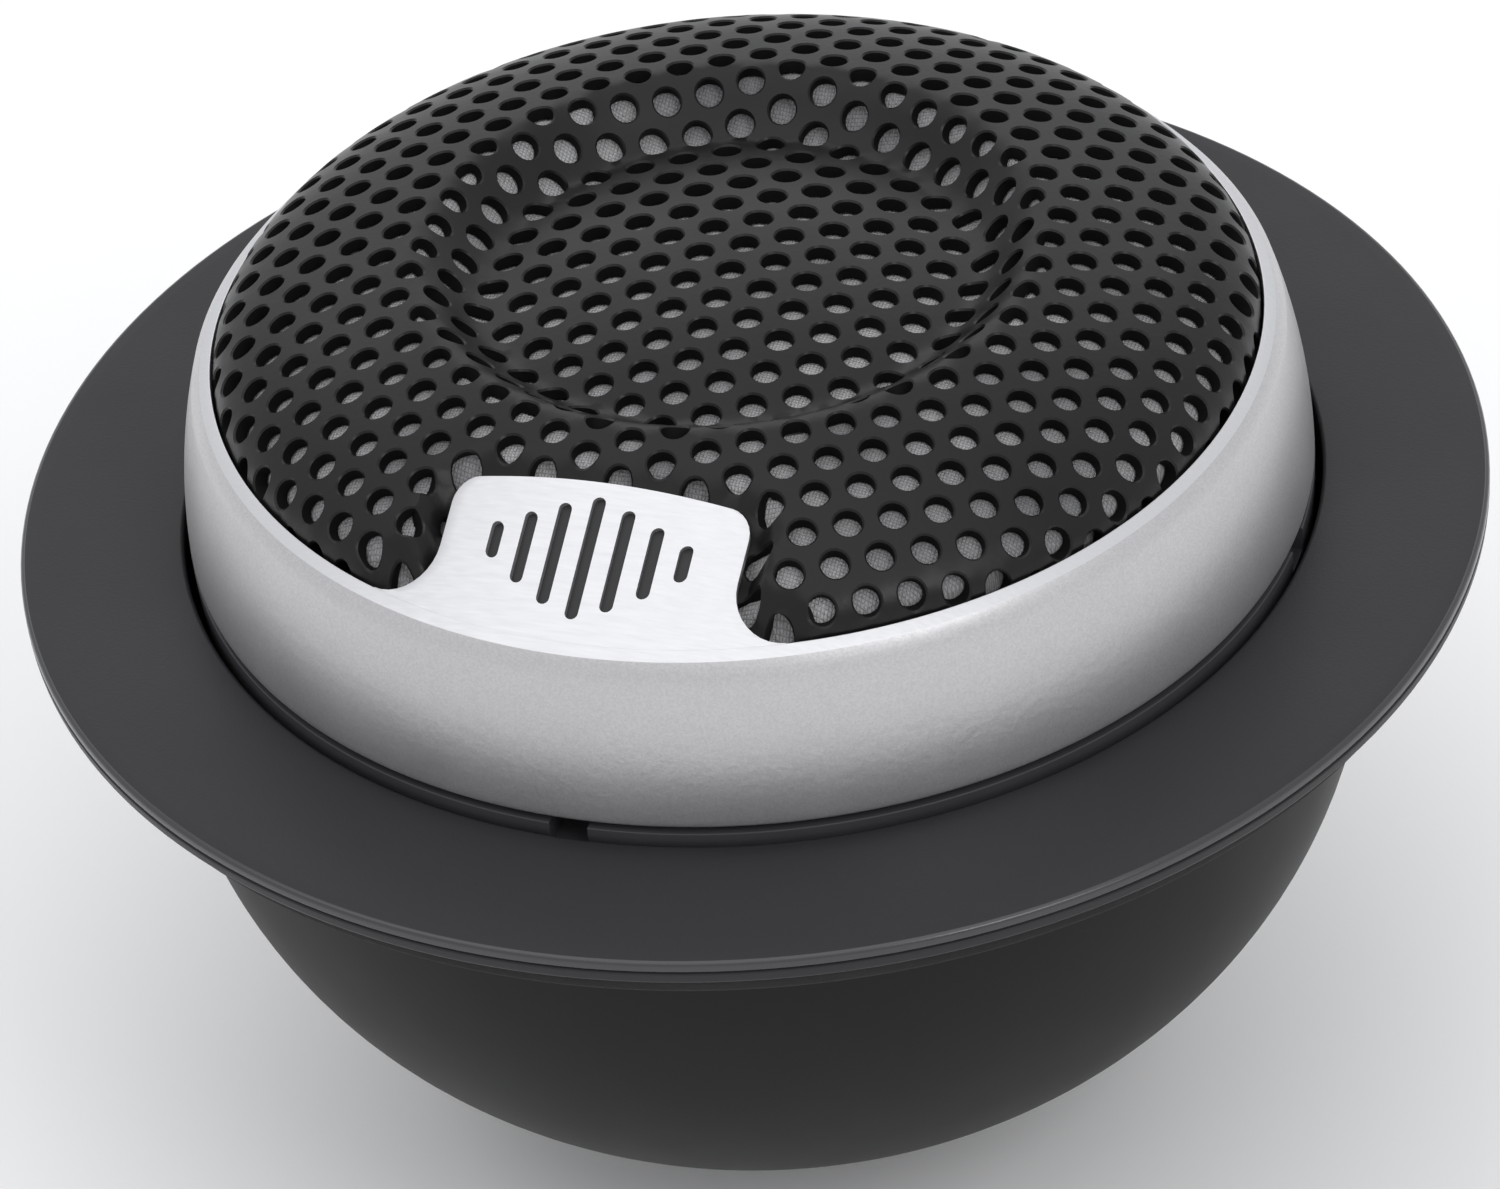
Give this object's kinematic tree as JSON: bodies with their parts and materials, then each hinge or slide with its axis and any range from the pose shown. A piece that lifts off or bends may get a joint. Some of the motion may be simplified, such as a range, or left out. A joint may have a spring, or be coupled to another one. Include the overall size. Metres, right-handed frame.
{
  "type": "car tweeter",
  "caption": "Flush-mount car tweeter with a perforated domed grille in a silver bezel, an eyeball capsule that tilts and turns in a flanged cup.",
  "frame": {"origin": "on the axis, under the head of the hollow stud at the bottom of the cup", "axes": "+Z along the tweeter's axis towards the grille; the bezel's tab is at -Y"},
  "size_m": [0.062, 0.062, 0.0423],
  "materials": {
    "satin_black_plastic": "satin moulded ABS",
    "moulded_black_abs": "fine moulded ABS",
    "silver_paint": "satin silver metallic paint",
    "black_coated_steel": "semi-gloss black powder coat on perforated steel",
    "grey_cloth": "light grey woven acoustic cloth",
    "white_nylon": "natural nylon",
    "black_foam": "closed-cell foam",
    "zinc_steel": "zinc plated",
    "nickel_magnet": "nickel plated",
    "copper_wire": "enamelled copper",
    "tinned_brass": "tinned",
    "coated_silk": "coated silk",
    "amber_film": "polyimide film",
    "phenolic_board": "phenolic paper board",
    "white_felt": "felt and wadding"
  },
  "bodies": {
    "mount": {"flange_ring": "satin_black_plastic", "rear_cup": "moulded_black_abs", "panel_gasket": "black_foam", "hollow_stud": "zinc_steel", "pressure_washer": "zinc_steel", "wave_spring": "zinc_steel", "lock_nut": "zinc_steel"},
    "seat": {"slip_ring": "white_nylon"},
    "eyeball": {"ball_shell": "moulded_black_abs", "bezel_ring": "silver_paint", "grille": "black_coated_steel", "acoustic_cloth": "grey_cloth", "grille_clamp": "moulded_black_abs", "driver_chassis": "satin_black_plastic", "chassis_screw_1": "zinc_steel", "chassis_screw_2": "zinc_steel", "chassis_screw_3": "zinc_steel", "surround": "coated_silk", "top_plate": "zinc_steel", "magnet": "nickel_magnet", "pot_yoke": "zinc_steel", "dome_damping_pad": "white_felt", "terminal_board": "phenolic_board", "terminal_1": "tinned_brass", "terminal_2": "tinned_brass", "tinsel_lead_1": "copper_wire", "tinsel_lead_2": "copper_wire", "rear_absorber": "white_felt"},
    "diaphragm": {"dome": "coated_silk", "voice_coil_former": "amber_film", "voice_coil": "copper_wire"}
  },
  "joints": [
    {"name": "swivel_spin", "type": "hinge", "parent": "mount", "child": "seat", "pos_m": [0, 0, 0.0306], "axis": [0, 0, 1], "continuous": true},
    {"name": "swivel_tilt", "type": "hinge", "parent": "seat", "child": "eyeball", "pos_m": [0, 0, 0.0306], "axis": [1, 0, 0], "range_deg": [-10, 10]},
    {"name": "dome_travel", "type": "slide", "parent": "eyeball", "child": "diaphragm", "axis": [0, 0, 1], "range_m": [-0.0003, 0.0003], "stiffness_N_per_m": 150, "deforming": ["surround", "tinsel_lead_1", "tinsel_lead_2"]}
  ]
}
